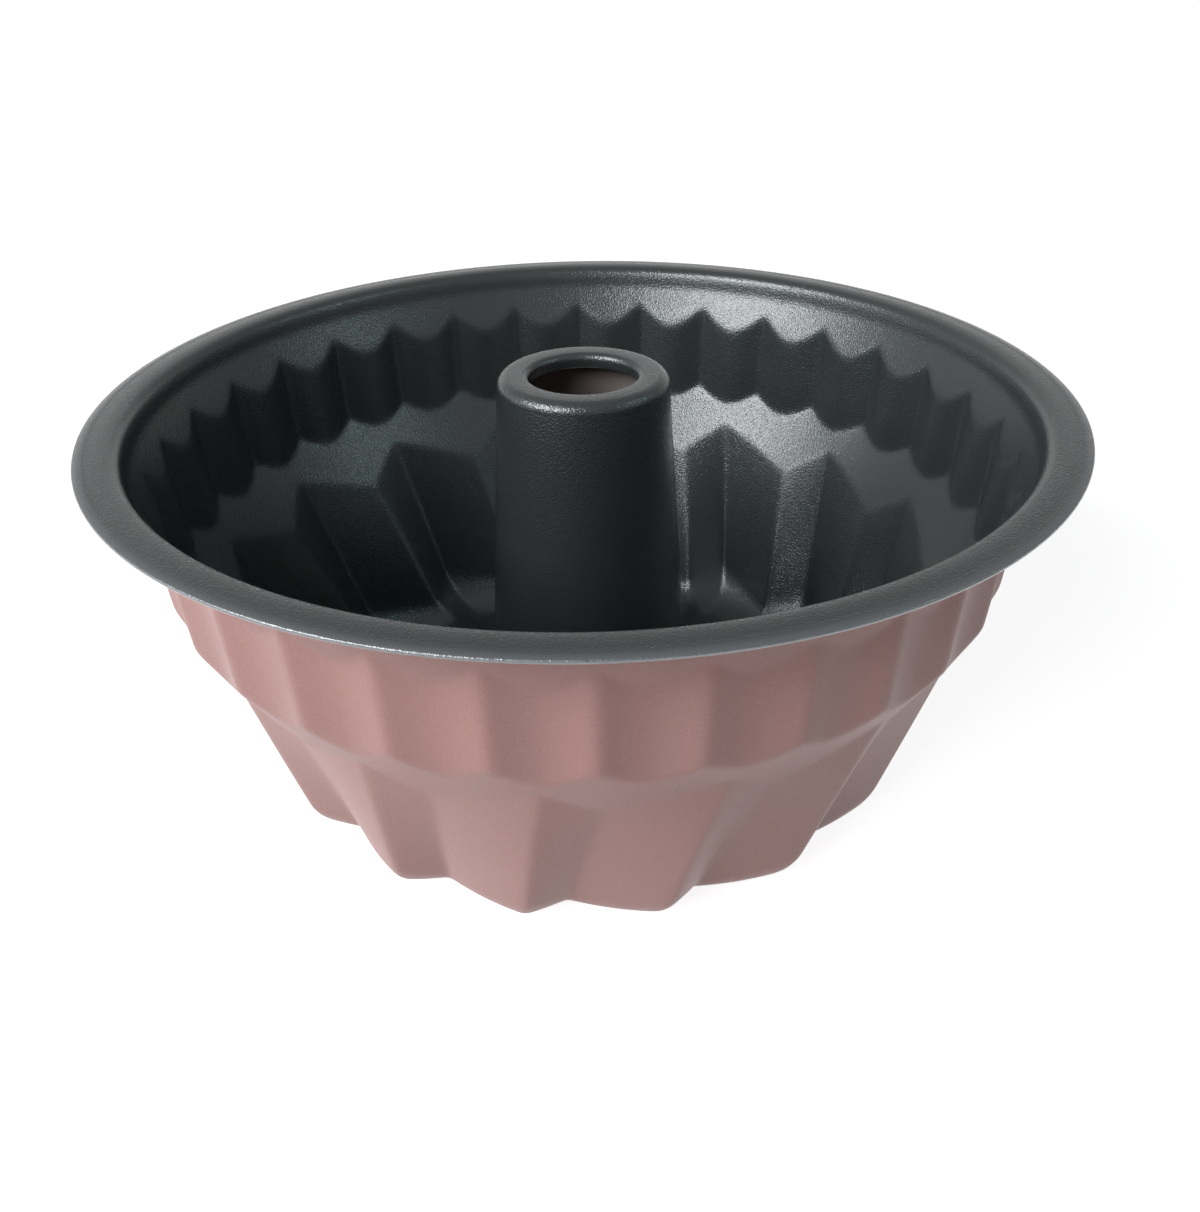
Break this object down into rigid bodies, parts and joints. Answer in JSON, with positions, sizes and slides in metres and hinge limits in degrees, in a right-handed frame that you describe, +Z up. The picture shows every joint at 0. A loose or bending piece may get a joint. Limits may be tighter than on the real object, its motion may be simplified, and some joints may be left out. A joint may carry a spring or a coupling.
{
  "type": "mini fluted tube pan",
  "caption": "Round cake pan with an open centre tube, a flat rim, small flutes around the top of its wall and twisted lobes below that round under into feet.",
  "frame": {"origin": "on the pan's axis, in the plane that its feet rest on", "axes": "+Z up along the axis of the centre tube; +X and +Y through sharp edges between two flutes"},
  "size_m": [0.16, 0.16, 0.0725],
  "materials": {
    "rose_lacquer": "satin rose lacquer outside, dark satin non-stick coating inside",
    "dark_nonstick": "dark satin non-stick coating with a fine metallic grain"
  },
  "bodies": {
    "root": {"fluted_shell": "rose_lacquer", "centre_tube": "dark_nonstick"}
  },
  "joints": []
}
